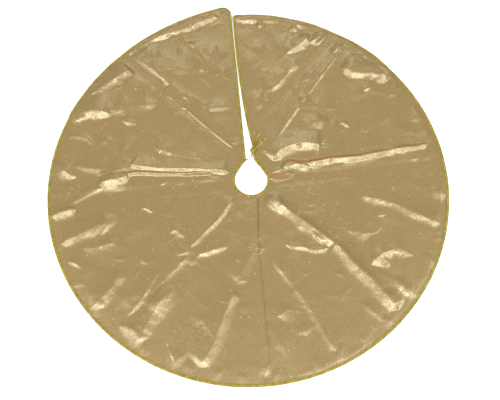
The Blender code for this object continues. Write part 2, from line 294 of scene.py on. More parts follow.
# Each fold: its crest's points, height, width of the lit side, width of the far side. Millimetres.
CREASES = [
    # upper left packing crease, from the left neck corner
    ([(-47, 114), (-105, 180), (-145, 228), (-186, 272)], 3.2, 8, 34),
    ([(-118, 198), (-146, 230), (-184, 270)], 4.0, 7, 20),
    ([(-176, 262), (-198, 288), (-222, 317), (-256, 342)], 5.2, 13, 30),
    ([(-253, 341), (-294, 359), (-330, 363), (-380, 395)], 3.0, 26, 40),
    ([(-66, 146), (-40, 134), (-10, 142)], 4.6, 11, 12),
    # left packing crease with its double line
    ([(-64, 32), (-156, 50), (-248, 63), (-335, 78), (-376, 92)], 6.6, 12, 30),
    ([(-110, 29), (-156, 37), (-248, 46), (-335, 58), (-400, 57), (-455, 56)], 4.4, 6, 6),
    ([(-366, 88), (-395, 74), (-430, 68), (-470, 66)], 4.5, 11, 20),
    ([(-352, 66), (-376, 100), (-394, 70)], 4.0, 12, 12),
    ([(-368, 52), (-416, 43), (-466, 32)], 8.0, 22, 26),
    ([(-440, 27), (-500, 6), (-556, -20)], 3.4, 10, 18),
    ([(-530, -32), (-574, -44), (-612, -54)], 8.0, 24, 20),
    # lower left packing crease
    ([(-61, -53), (-124, -123), (-173, -168), (-211, -204)], 4.2, 12, 26),
    ([(-212, -222), (-261, -262), (-304, -300), (-330, -330)], 4.0, 13, 26),
    ([(-260, -146), (-240, -138), (-214, -166)], 4.5, 16, 16),
    ([(-247, -222), (-205, -206), (-171, -218), (-132, -208), (-93, -203)], 4.0, 13, 18),
    # two folds of the back
    ([(-4, -202), (-40, -256), (-78, -315)], 4.5, 24, 30),
    ([(-88, -330), (-128, -416), (-164, -481), (-204, -536)], 7.2, 24, 30),
    ([(4, -62), (-2, -193), (-10, -343), (-12, -456), (-14, -585)], 2.8, 34, 7),
    ([(28, -255), (62, -306), (84, -350)], 2.8, 10, 22),
    ([(78, -338), (109, -390), (137, -450), (174, -535)], 5.0, 17, 24),
    # lower right packing crease, the strongest
    ([(32, -54), (101, -118), (154, -168), (222, -232)], 8.8, 24, 20),
    ([(74, -216), (116, -228), (160, -242), (200, -240)], 4.2, 12, 10),
    ([(212, -222), (226, -238), (267, -298), (315, -358), (352, -412), (372, -440)], 10.2, 27, 22),
    ([(350, -424), (374, -418), (392, -408)], 4.5, 12, 12),
    ([(324, -80), (334, -92), (391, -114), (458, -152), (538, -204)], 6.6, 20, 24),
    # right packing crease and the pleat at the neck
    ([(170, 33), (247, 37), (342, 42), (438, 50), (560, 57)], 7.0, 15, 8),
    ([(70, 56), (94, 84), (129, 99), (177, 104), (228, 90)], 10.0, 27, 34),
    ([(60, 16), (90, 22), (128, 34), (176, 36), (226, 30)], 4.5, 6, 8),
    ([(52, -3), (87, -5), (132, 6)], 13.0, 7, 13),
    ([(92, 20), (118, 44), (150, 36), (186, 22)], 6.0, 20, 9),
    # upper right packing crease
    ([(66, 103), (147, 200), (191, 252), (252, 326), (314, 400), (352, 456)], 3.4, 8, 26),
]

FOLDS = [
    # left half
    ([(-392, 470), (-348, 500), (-300, 533), (-251, 550), (-200, 560)], 10.5, 15, 12),
    ([(-230, 556), (-200, 566), (-162, 576), (-110, 596), (-50, 606)], 9.5, 20, 14),
    ([(-497, 345), (-430, 378), (-373, 420), (-318, 436)], 8.5, 26, 50),
    ([(-572, 286), (-505, 287), (-458, 284), (-415, 270)], 12.0, 34, 50),
    # planes that lean back above them, in the upper half
    ([(-361, 489), (-297, 428), (-223, 351)], 4.0, 18, 36),
    ([(-310, 437), (-225, 420), (-140, 411)], 4.5, 20, 60),
    ([(-159, 515), (-98, 437), (-33, 353)], 4.5, 20, 44),
    ([(-508, 322), (-394, 288), (-265, 296)], 4.5, 20, 60),
    ([(-299, 142), (-183, 94), (-68, 61)], 3.5, 18, 50),
    ([(-547, 107), (-431, 80), (-308, 81)], 4.0, 20, 44),
    ([(70, 300), (150, 330), (250, 330)], 3.5, 16, 60),
    ([(90, 200), (190, 230), (300, 215)], 3.0, 16, 60),
    ([(330, 250), (420, 262), (500, 240)], 3.0, 18, 60),
    ([(-390, 250), (-362, 240), (-334, 230)], 3.5, 15, 20),
    ([(-339, 180), (-373, 158), (-402, 122)], 3.0, 8, 18),
    ([(-610, 128), (-578, 100), (-530, 62)], 8.0, 34, 20),
    ([(-133, 272), (-82, 262), (-32, 256)], 4.5, 17, 24),
    ([(-170, 460), (-110, 430), (-60, 366)], 3.5, 30, 44),
    ([(-290, 470), (-250, 430), (-205, 385)], 3.0, 30, 44),
    ([(-584, -146), (-525, -118), (-471, -100), (-412, -80)], 7.0, 26, 30),
    ([(-500, -352), (-456, -310), (-426, -280), (-394, -238)], 7.0, 22, 26),
    ([(-392, -378), (-357, -330), (-322, -292), (-290, -250)], 5.0, 15, 24),
    ([(-368, -452), (-347, -412), (-318, -370), (-256, -305)], 9.5, 36, 30),
    ([(-414, -396), (-375, -424), (-340, -446)], 6.0, 24, 18),
    ([(-560, -200), (-540, -206), (-520, -222)], 3.5, 10, 14),
    ([(-340, -60), (-322, -60), (-306, -76)], 3.5, 9, 10),
    ([(-140, -322), (-112, -330), (-88, -340)], 3.0, 11, 16),
    ([(-84, -316), (-62, -312), (-40, -314)], 3.0, 11, 16),
    ([(-110, -150), (-76, -158), (-48, -172)], 2.0, 16, 20),
    ([(-41, -66), (-50, -100), (-60, -135)], 3.0, 12, 20),
    ([(-10, -68), (-22, -86), (-36, -106)], 3.0, 14, 16),
    # right half
    ([(190, 562), (200, 530), (192, 500)], 5.0, 16, 18),
    ([(252, 512), (213, 470), (156, 430)], 7.5, 20, 26),
    ([(362, 478), (342, 444), (306, 408)], 8.0, 17, 20),
    ([(318, 506), (278, 482), (236, 464)], 8.0, 20, 22),
    ([(346, 478), (409, 430), (474, 368)], 10.5, 22, 22),
    ([(326, 360), (410, 336), (496, 310)], 11.5, 31, 40),
    ([(296, 170), (312, 158), (332, 142)], 4.0, 9, 10),
    ([(262, -192), (302, -208), (340, -206)], 3.5, 18, 20),
    ([(306, -310), (348, -280), (396, -268)], 10.5, 34, 24),
    ([(366, -276), (404, -268), (440, -292)], 6.5, 26, 24),
    ([(312, -328), (334, -356), (354, -382)], 4.0, 12, 20),
    ([(360, -343), (398, -381), (436, -414)], 7.0, 17, 18),
    ([(262, -406), (299, -440), (328, -472)], 4.0, 16, 24),
    ([(470, -330), (490, -322), (510, -322)], 5.0, 14, 16),
    ([(20, -424), (48, -414), (76, -398)], 4.0, 26, 26),
    ([(70, 310), (44, 270), (16, 232)], 3.0, 22, 30),
    ([(210, 420), (150, 368), (92, 342)], 3.5, 24, 34),
    ([(160, 150), (205, 165), (250, 192)], 3.0, 30, 40),
    ([(300, 60), (400, 75), (520, 92)], 2.5, 34, 60),
]

# Patches of fine crumpling, which glitter softly: middle, reach along and across, heading in
# degrees, height.
CRUMPLED = [
    (180, -58, 78, 24, 62, 0.8), (-20, -120, 60, 20, 75, 0.7), (-210, -430, 80, 46, 20, 0.6),
    (60, -430, 70, 60, 30, 0.6), (-200, -160, 40, 22, 35, 0.7), (370, -300, 70, 30, 12, 0.4),
    (250, -190, 46, 20, 10, 0.8), (120, -30, 40, 16, 10, 0.9),
]

# The inside of the pleat beside the neck, which gets painted warm brown shade.
PLEAT_INSIDE = np.array([(0.058, 0.0025), (0.085, 0.0040), (0.113, 0.0130)])

# Sharp lines left by the folding for the packet, darkened with painted shade: points, strength,
# half width.
CREASE_SHADE_LINES = [
    ([(11, -67), (-1, -193), (-6, -343), (-8, -456), (-10, -590)], 0.8, 3.0),
    ([(40, -52), (108, -112), (160, -160), (226, -222)], 0.6, 2.0),
    ([(228, -226), (274, -288), (322, -348), (360, -402)], 0.6, 2.0),
    ([(-60, 122), (-124, 208), (-189, 280)], 0.5, 1.8),
    ([(70, 100), (147, 226), (252, 326), (350, 456)], 0.4, 1.8),
    ([(-58, -56), (-170, -172), (-260, -266), (-400, -430)], 0.4, 1.8),
]

# Loose folds that run in from the hem: polar angle, length, height, lit width, lean. The angle and
# the lean are in degrees.
HEM_FOLDS = [
    (96, 46, 5, 16, 20), (100, 60, 6, 20, -25), (105, 44, 5, 16, 30), (109, 70, 7, 20, -20),
    (113, 52, 7, 18, 35), (118, 80, 6, 22, -30), (124, 60, 5, 20, 25), (130, 50, 4, 18, -20),
    (141, 50, 4, 18, 20), (152, 60, 4, 20, -25), (196, 40, 4, 14, 20), (207, 46, 4, 14, -30),
    (219, 60, 5, 18, 25), (231, 60, 6, 18, -20), (236, 44, 5, 14, 30), (243, 70, 6, 20, -25),
    (249, 50, 5, 16, 25), (255, 46, 5, 14, -25), (263, 40, 4, 16, 20), (271, 44, 4, 16, -20),
    (284, 50, 5, 16, 20), (289, 60, 6, 18, -30), (299, 50, 5, 16, 25), (305, 44, 5, 16, -25),
    (318, 60, 5, 18, 30), (328, 50, 5, 16, -20), (336, 40, 4, 14, 20), (349, 60, 5, 20, -15),
    (359, 80, 5, 24, 12), (8, 70, 5, 22, -12), (17, 60, 5, 20, 15), (27, 50, 5, 18, -20),
    (36, 54, 6, 18, 20), (43, 60, 7, 18, -25), (49, 50, 6, 16, 25), (55, 66, 7, 18, -20),
    (61, 60, 7, 18, 25), (67, 60, 7, 18, -30), (73, 56, 6, 18, 20), (79, 60, 6, 20, -20),
    (84, 44, 5, 16, 20),
]

# Rolls of the cloth just inside the hem: first and last polar angle, inset, height, lit width.
HEM_ROLLS = [
    (93, 58, 16, 13.5, 20), (60, 46, 20, 9.0, 14), (44, 28, 20, 7.0, 14), (20, -14, 24, 6.0, 22),
    (136, 150, 18, 6.0, 14), (-30, -56, 20, 2.0, 18), (-62, -84, 16, 4.0, 14),
]


def inside_hem(way, inset):
    """A place at the given angle and distance in from the hem, in millimetres."""
    return polar(HEM_SHIFT, hem_radius(way % tau) - inset, way) * MM


def hem_roll_points(first, last, inset):
    wander = inset + 3.0 * np.sin(np.arange(7) * 2.4 + first)
    ways = np.radians(np.linspace(first, last, 7))
    return [inside_hem(way, inner / MM) for way, inner in zip(ways, wander)]


def hem_fold_points(angle, length, lean):
    way = radians(angle)
    foot = inside_hem(way, 0.004)
    turned = way + pi + radians(lean)
    tip = foot + length * direction(turned)
    bend = (foot + tip) / 2 + 0.10 * length * direction(turned + pi / 2)
    return [foot, bend, tip]


def small_creases(count, seed, longest, heights, widths):
    """Short creases all over, the same each run: points, height, lit width, back width."""
    rng = np.random.RandomState(seed)
    made = []
    for _ in range(count):
        angle, radius = rng.uniform(0.0, tau), 600.0 * np.sqrt(rng.uniform(0.02, 0.95))
        start = direction(angle) * radius
        way = angle + rng.choice((0.0, pi / 2, 0.6, -0.6)) + rng.normal(0.0, 0.35)
        length = rng.uniform(0.27, 1.0) * longest
        step = direction(way) * length / 2
        bend = np.array((-step[1], step[0])) * rng.normal(0.0, 0.16)
        lit = rng.uniform(*widths)
        made.append(([start - step, start + bend, start + step], rng.uniform(*heights), lit,
                     lit * rng.uniform(0.9, 1.6)))
    return made


SMALL = small_creases(120, 17, 130.0, (0.9, 3.0), (12.0, 34.0)) \
    + small_creases(90, 18, 70.0, (0.8, 2.2), (5.0, 9.0))


# How much of the loose folds goes along the lines that the skirt is folded on, and how much of
# the listed height the folds at the hem have.
TURN_LOSS = 0.85
HEM_FOLD_SHARE = 0.65


def crumpling(x, y):
    """Fine irregular wrinkles inside the crumpled patches, fading out at each patch's rim."""
    wrinkle = noise_at(x, y, 0.013, 41) + 0.5 * noise_at(x, y, 0.0075, 42)
    share = np.zeros(x.shape)
    for middle_x, middle_y, reach, across, degrees, height in CRUMPLED:
        turn = radians(degrees)
        dx, dy = x * MM - middle_x, y * MM - middle_y
        u = (dx * cos(turn) + dy * sin(turn)) / reach
        v = (dy * cos(turn) - dx * sin(turn)) / across
        share = np.maximum(share, height * smooth(1.5 - np.hypot(u, v)))
    return share * (wrinkle + 1.0) / MM


def sway(x, y, seed):
    """How far a loose fold's line wanders sideways at each place."""
    return 0.0065 * noise_at(x, y, 0.075, seed) + 0.0024 * noise_at(x, y, 0.023, seed + 1)


def laid_over(rise, one):
    """Lays one fold over the others: the higher one shows, with a little of the lower."""
    return np.maximum(rise, one) + 0.18 * np.minimum(rise, one)


def fold_height(x, y, turn):
    """How far the cloth stands above its flat lie. Where turn is 1 only the creases stand."""
    sway_x, sway_y = sway(x, y, 31), sway(x, y, 33)
    near_x, near_y = x + 0.4 * sway_x, y + 0.4 * sway_y
    loose_x, loose_y = x + sway_x, y + sway_y
    rise = np.zeros(x.shape)
    for seed, (points, height, lit, back) in enumerate(CREASES):
        rise = laid_over(rise, ridge(near_x, near_y, points, height, lit, back * 1.4,
                                     seed + 0.5, ends=22.0, ragged=0.22, foot=0.05))
    loose = 1.0 - TURN_LOSS * turn
    for seed, (points, height, lit, back) in enumerate(FOLDS):
        rise = laid_over(rise, loose * ridge(loose_x, loose_y, points, height, lit, back * 1.4,
                                             seed + 60.5, ends=44.0))
    for seed, (points, height, lit, back) in enumerate(SMALL):
        rise = rise + loose * ridge(loose_x, loose_y, points, height, lit, back, seed + 140.5,
                                    ends=50.0)
    for seed, (first, last, inset, height, lit) in enumerate(HEM_ROLLS):
        rise = laid_over(rise, ridge(x, y, hem_roll_points(first, last, inset), height, lit,
                                     lit * 1.1, seed + 280.5, ends=60.0))
    for seed, (angle, length, height, lit, lean) in enumerate(HEM_FOLDS):
        rise = rise + HEM_FOLD_SHARE * ridge(x, y, hem_fold_points(angle, length, lean), height,
                                             lit, lit * 1.3, seed + 300.5)
    mottle = noise_at(x, y, 0.0085, 43) + 0.6 * noise_at(x, y, 0.019, 44)
    rise = rise + 0.00022 * mottle * smooth(rise / 0.004)
    warp_x = x + 0.020 * noise_at(x, y, 0.11, 3)
    warp_y = y + 0.020 * noise_at(x, y, 0.11, 4)
    broad = noise_at(warp_x, warp_y, 0.150, 5)
    crumple = 1.0 - np.abs(noise_at(warp_x, warp_y, 0.090, 6))
    fine = 1.0 - np.abs(noise_at(warp_x, warp_y, 0.042, 7))
    uneven = 0.0012 * np.maximum(broad + 1.0, 0.0) + 0.0008 * crumple**2 + 0.0003 * fine**2
    return rise + loose * (crumpling(x, y) + uneven)


def edge_fade(d):
    """Folds lose height where the stiff binding holds the edge."""
    return 0.30 + 0.70 * smooth((d - 0.002) / 0.050)


# The finished edges: left slit, hem and right slit as one path, and the neck.
EDGE_STEP = 0.002
NECK_STEP = 0.0015
HEM = hem_outline(EDGE_STEP)
NECK_EDGE = neck_outline(NECK_STEP)
LEFT_SLIT = along([LEFT_NECK_CORNER, HEM[0]], EDGE_STEP)
RIGHT_SLIT = along(right_slit(np.linspace(0.0, 1.0, 200)), EDGE_STEP)
EDGE_PATH = np.concatenate([LEFT_SLIT[:-1], HEM, RIGHT_SLIT[::-1][1:]])

edge_tree = kdtree.KDTree(len(EDGE_PATH) + len(NECK_EDGE))
for index, (px, py) in enumerate(np.concatenate([EDGE_PATH, NECK_EDGE])):
    edge_tree.insert((px, py, 0.0), index)
edge_tree.balance()


def edge_distance(x, y):
    found = [edge_tree.find((a, b, 0.0))[2] for a, b in zip(x.ravel(), y.ravel())]
    return np.array(found).reshape(x.shape)


TURN_BAND = 0.020


def near_turn(x, y):
    """1 along the three lines that the skirt is folded on, 0 beyond 30 mm from them."""
    near = np.abs(y - HALF_FOLD_Y)
    for point, out, side in ((LEFT_FOLD, LEFT_FOLD_OUT, x < 0.0),
                             (RIGHT_FOLD, RIGHT_FOLD_OUT, x > -0.03)):
        flap = np.abs((x - point[0]) * out[0] + (y - point[1]) * out[1])
        near = np.minimum(near, np.where(side & (y > 0.0), flap, 1.0))
    return smooth(1.5 - near / TURN_BAND)


def pressed(rise, kept, more):
    """Heights up to kept stay, and higher ones are pressed down to at most more above it."""
    return np.where(rise < kept, rise, kept + more * np.tanh((rise - kept) / more))


# Folds are limited softly everywhere, and much lower where the skirt is folded.
LIFT_KEPT, LIFT_MORE = 0.014, 0.0062
TURN_KEPT, TURN_MORE = 0.003, 0.0011


def lift(x, y, d=None):
    """The height of the cloth's folds at each place, once the edges are held."""
    if d is None:
        d = edge_distance(x, y)
    turn = near_turn(x, y)
    rise = (1.25 + y) * fold_height(x, y, turn) * edge_fade(d)
    rise = pressed(rise, LIFT_KEPT, LIFT_MORE)
    return rise * (1.0 - turn) + pressed(rise, TURN_KEPT, TURN_MORE) * turn


# ---------------------------------------------------------------- meshes


def mesh_object(name, points, faces):
    """A mesh from plan points measured from the neck, moved into the row frame."""
    data = bpy.data.meshes.new(name)
    points = np.asarray(points, float) + np.array(NECK)
    data.from_pydata(points.tolist(), [], faces)
    data.update()
    data.shade_smooth()
    return placed(name, data)


def placed(name, data):
    obj = bpy.data.objects.new(name, data)
    bpy.context.scene.collection.objects.link(obj)
    return obj


def cloth_grid(around, out):
    """Plan positions of a grid over the skirt: around columns, each from the neck to the hem."""
    hem_in = HEM + inward(HEM) * EDGE_INSET
    hem_reach = path_reach(HEM)
    hem_at = read_along(np.linspace(0.0, hem_reach[-1], around + 1), hem_reach, hem_in)
    angle = np.unwrap(np.arctan2(hem_at[:, 1], hem_at[:, 0]))
    share = (angle - angle[0]) / (angle[-1] - angle[0])
    neck_in = NECK_EDGE - inward(NECK_EDGE) * EDGE_INSET
    neck_reach = path_reach(NECK_EDGE)
    neck_at = read_along(share * neck_reach[-1], neck_reach, neck_in)
    v = np.linspace(0.0, 1.0, out + 1)
    grid = neck_at[:, None, :] * (1 - v)[None, :, None] + hem_at[:, None, :] * v[None, :, None]
    straight = RIGHT_NECK_CORNER * (1 - v)[:, None] + right_slit(1.0) * v[:, None]
    bulge = right_slit(v) - straight
    weight = smooth(1.0 - (1.0 - share) / 0.12)
    return grid + weight[:, None, None] * bulge[None, :, :], angle


def grid_normals(place):
    """The upward unit normals of a grid of points in space."""
    normal = np.cross(np.gradient(place, axis=1), np.gradient(place, axis=0))
    normal *= np.where(normal[..., 2:] < 0, -1.0, 1.0)
    return normal / np.linalg.norm(normal, axis=-1, keepdims=True)


def cloth_part(name, place, normal, thickness, columns, values):
    """A thin closed sheet over some of the grid's columns, with what its material reads."""
    part, facing = place[columns], normal[columns]
    around, out = part.shape[:2]
    half = facing * thickness / 2
    points = np.concatenate([(part + half).reshape(-1, 3), (part - half).reshape(-1, 3)])
    count = around * out
    index = np.arange(count).reshape(around, out)
    a, b = index[:-1, :-1].ravel(), index[1:, :-1].ravel()
    c, d = index[1:, 1:].ravel(), index[:-1, 1:].ravel()
    upper = np.stack([a, d, c, b], axis=1)
    under = np.stack([a, b, c, d], axis=1) + count
    rim = np.concatenate([index[0, :], index[1:, -1], index[-1, -2::-1], index[-2:0:-1, 0]])
    following = np.roll(rim, -1)
    wall = np.stack([rim, following, following + count, rim + count], axis=1)
    obj = mesh_object(name, points, np.concatenate([upper, under, wall]).tolist())
    facing = facing.reshape(-1, 3)
    obj.data.normals_split_custom_set_from_vertices(np.concatenate([facing, -facing]).tolist())
    for key, value in values.items():
        stored = obj.data.attributes.new(key, "FLOAT", "POINT")
        stored.data.foreach_set("value", np.tile(value[columns].reshape(-1), 2).astype(np.float32))
    return obj


def skin(index):
    """Quads over rings of point numbers, stations x points, each ring closed on itself."""
    a, b = index[:-1], index[1:]
    quads = np.stack([a, np.roll(a, -1, axis=1), np.roll(b, -1, axis=1), b], axis=-1)
    return quads.reshape(-1, 4)


def loft(name, rings, close=True):
    """A skin over rings of points, stations x points x 3; strips across a ring close each end."""
    rings = np.asarray(rings, float)
    stations, around = rings.shape[:2]
    index = np.arange(stations * around).reshape(stations, around)
    faces = skin(index).tolist()
    if close:
        for ring, way in ((index[0].tolist(), 1), (index[-1].tolist(), -1)):
            for i in range(around // 2 - 1):
                quad = [ring[i], ring[i + 1], ring[around - 2 - i], ring[around - 1 - i]]
                faces.append(quad[::way])
    obj = mesh_object(name, rings.reshape(-1, 3), faces)
    face_outward(obj.data)
    return obj


def face_outward(mesh):
    """Turns every face over if the mesh as a whole faces inward."""
    mesh.calc_loop_triangles()
    points = np.empty(len(mesh.vertices) * 3)
    mesh.vertices.foreach_get("co", points)
    corners = np.empty(len(mesh.loop_triangles) * 3, np.int32)
    mesh.loop_triangles.foreach_get("vertices", corners)
    a, b, c = points.reshape(-1, 3)[corners.reshape(-1, 3).T]
    if (a * np.cross(b, c)).sum() < 0:
        mesh.flip_normals()


# ---------------------------------------------------------------- the cloth

# The polar angles where the cloth's pieces meet, and the columns and rows of their grids.
LEFT_CUT = radians(156.0)
RIGHT_CUT = radians(388.0)
FACE_GRID = (1100, 170)
LINING_GRID = (480, 70)
LINING_FOLLOW = 0.8

# Lines along the two side creases: slopes near them that turn from the light get painted warm brown
# shade.
RIGHT_SHADE_LINE = np.array([(0.030, 0.036), (0.410, 0.046)])
LEFT_SHADE_LINE = np.array([(-0.400, 0.060), (-0.110, 0.033)])


def three_parts(angle):
    """The parts of a row of places on the left, back and right pieces, which share their ends."""
    left, right = (int(np.searchsorted(angle, cut)) for cut in (LEFT_CUT, RIGHT_CUT))
    return {"left": slice(0, left + 1), "back": slice(left, right + 1),
            "right": slice(right, len(angle))}


def painted_shade_away(x, y, normal):
    """Painted warm brown shade: 1 where the cloth is steep and turned from the light, at the pleat,
    side creases and hem.
    """
    away = normal[..., 0] * 0.35 + normal[..., 1] * 0.94
    near_right = smooth(1.6 - measure_along(x, y, RIGHT_SHADE_LINE)[0] / 0.045)
    near_left = smooth(1.6 - measure_along(x, y, LEFT_SHADE_LINE)[0] / 0.012)
    hem_share = np.where((x < 0) & (y > 0.4), 0.6, 0.35)
    near_hem = hem_share * smooth((np.hypot(x, y) - 0.50) / 0.06)
    # Slopes turned from the light near the side creases and the hem, and the inside of the pleat,
    # get painted shade.
    turned = smooth((away - 0.22) / 0.20) * np.maximum(np.maximum(near_right, near_left), near_hem)
    return np.maximum(turned, smooth(2.0 - measure_along(x, y, PLEAT_INSIDE)[0] / 0.0034))


def crease_shade_share(x, y):
    """1 along the sharp packing creases, where the colour is darkened as painted shade."""
    crease_shade = np.zeros(x.shape)
    for points, strength, width in CREASE_SHADE_LINES:
        far = measure_along(x, y, fold_line(points))[0] * MM / width
        crease_shade = np.maximum(crease_shade, strength * smooth(1.7 - far))
    return crease_shade


def make_cloth(name, size, flat_z, thickness, follow):
    """The three pieces of one cloth, which follows the folds by a share, and their flat sizes."""
    grid, angle = cloth_grid(*size)
    x, y = grid[..., 0], grid[..., 1]
    d = edge_distance(x, y)
    rise = lift(x, y, d) * (1.0 - (1.0 - follow) * smooth((d - 0.010) / 0.030))
    place = np.stack([x, y, flat_z + rise], axis=-1)
    normal = grid_normals(place)
    # Shares of painted shade, kept at each point for the materials to read.
    values = {"painted_shade_away": painted_shade_away(x, y, normal), "crease_shade": crease_shade_share(x, y)}
    parts, sizes = {}, {}
    for side, columns in three_parts(angle).items():
        parts[side] = cloth_part(name + "_" + side, place, normal, thickness, columns, values)
        sizes[side] = flat_size(grid[columns])
    return parts, sizes


def flat_size(grid):
    """Width, length and area of a piece of cloth where it lies flat."""
    width, length = np.ptp(grid.reshape(-1, 2), axis=0)
    across, down = grid[1:, 1:] - grid[:-1, :-1], grid[1:, :-1] - grid[:-1, 1:]
    area = np.abs(across[..., 0] * down[..., 1] - across[..., 1] * down[..., 0]).sum() / 2
    return float(width), float(length), float(area)


# ---------------------------------------------------------------- bindings, stitches and ties

STITCH_LENGTH = 0.0027
STITCH_PITCH = 0.0034
STITCH_R = 0.00024
STITCH_INSET = 0.0067
STITCH_LIFT = 0.00012
TAPE_THICK = 0.0011
MITRE = 0.007


def channel(width, high, low, leaf, crown, dip):
    """A folded tape's cross-section: round the outside from leaf edge to leaf edge, back inside.

    Columns are the distance in from the fold and the height.
    """
    middle, tall = (high + low) / 2, high - low
    across = np.array([1.0, 0.86, 0.70, 0.45, 0.24, 0.10, 0.03])
    upper = high + np.array([0.0, -dip, crown * 0.4, crown, crown * 0.7, 0.0, 0.0])
    upper[5:] = middle + tall * 0.40, middle + tall * 0.24
    lower = low + np.maximum(high - upper, 0.0)
    inner = np.maximum(width * across, leaf)
    inner_low = np.minimum(lower + leaf, low + leaf + 0.02 * tall)
    inner_high = np.maximum(upper - leaf, high - leaf - 0.02 * tall)
    return np.column_stack([
        np.concatenate([width * across, [0.0], width * across[::-1], inner, [leaf], inner[::-1]]),
        np.concatenate([upper, [middle], lower[::-1], inner_low, [middle], inner_high[::-1]])])


def ring_stack(points, way_in, seed):
    """Cross-sections of the tape folded over an edge, standing on the cloth's own folds."""
    reach = path_reach(points)
    wobble = gradient_noise(reach / 0.013, reach * 0 + 0.5, seed)
    slow = gradient_noise(reach / 0.041, reach * 0 + 7.5, seed)
    rings = []
    for i, (x, y) in enumerate(points):
        across, z = channel(BINDING_W * (1 + 0.05 * slow[i]), BINDING_HIGH + 0.00018 * wobble[i],
                            BINDING_LOW, LEAF_T, 0.00030 + 0.00020 * wobble[i], 0.00014).T
        rings.append(np.column_stack([x + way_in[i, 0] * across, y + way_in[i, 1] * across, z]))
    rings = np.array(rings)
    rings[..., 2] += lift(rings[..., 0], rings[..., 1])
    return rings


def stitch_row(name, points, way_in, height, side):
    """One bar of thread for each stitch along a path, above the tape (side 1) or under it (-1)."""
    line = points + way_in * STITCH_INSET
    reach = path_reach(line)
    count = int(reach[-1] / STITCH_PITCH)
    centre = (np.arange(count) + 0.5) * STITCH_PITCH
    at = centre[:, None] + np.array([-0.5, -0.36, 0.0, 0.36, 0.5]) * STITCH_LENGTH
    radius = np.array([0.35, 0.85, 1.0, 0.85, 0.35])[:, None] * STITCH_R
    sink = np.array([-0.9, -0.1, 0.25, -0.1, -0.9]) * STITCH_R
    turn = np.arange(6) * tau / 6
    middle, inner = read_along(at, reach, line), read_along(at, reach, way_in)
    z = height + side * STITCH_LIFT + lift(middle[..., 0], middle[..., 1]) + side * sink
    plan = middle[:, :, None] + inner[:, :, None] * (radius * np.cos(turn))[None, ..., None]
    tall = z[..., None] + radius * np.sin(turn)
    places = np.concatenate([plan, tall[..., None]], axis=-1).reshape(-1, 3)
    index = np.arange(30).reshape(5, 6)
    starts = np.arange(count) * 30
    faces = (skin(index)[None] + starts[:, None, None]).reshape(-1, 4).tolist()
    for start in starts:
        faces += [(index[0, ::-1] + start).tolist(), (index[-1] + start).tolist()]
    obj = mesh_object(name, places, faces)
    face_outward(obj.data)
    return obj


def mitred(way_in, reach, first, last):
    """Turns the inward directions near a path's ends towards the direction of a joint there."""
    for target, distance in ((first, reach), (last, reach[-1] - reach)):
        share = smooth(1.0 - distance / MITRE)[:, None]
        way_in = way_in * (1 - share) + target * share
    return way_in / np.linalg.norm(way_in, axis=1, keepdims=True)


def tape(name, points, widths, rolls, end_slant=0.0, cup=0.0, cyclic=False, up=UP):
    """A double-folded tape along points in space, each ring turned about the way by its roll."""
    if cyclic:
        way = np.roll(points, -1, axis=0) - np.roll(points, 1, axis=0)
    else:
        way = np.gradient(points, axis=0)
    way /= np.linalg.norm(way, axis=1, keepdims=True)
    ups = np.broadcast_to(up, points.shape)
    slants = end_slant * smooth((np.linspace(0.0, 1.0, len(points)) - 0.7) / 0.3)
    rings = []
    for point, ahead, over, width, roll, slant in zip(points, way, ups, widths, rolls, slants):
        side = np.cross(ahead, over)
        side /= np.linalg.norm(side)
        over = np.cross(side, ahead)
        side, over = side * cos(roll) + over * sin(roll), over * cos(roll) - side * sin(roll)
        shape = channel(width, TAPE_THICK / 2, -TAPE_THICK / 2, TAPE_THICK * 0.42,
                        TAPE_THICK * 0.10, TAPE_THICK * 0.06)
        across = shape[:, :1] - width / 2
        bowed = shape[:, 1:] + cup * (1 - (2 * across / width) ** 2) * width
        rings.append(point + side * across + over * bowed + ahead * slant * across / width)
    if cyclic:
        rings.append(rings[0])
    return loft(name, rings, close=not cyclic)


def space_curve(points, count):
    """A smooth line in space through the points, cut into evenly spaced steps."""
    line = smooth_line(points, 16)
    reach = path_reach(line)
    return read_along(np.linspace(0.0, reach[-1], count), reach, line)


# ---------------------------------------------------------------- materials


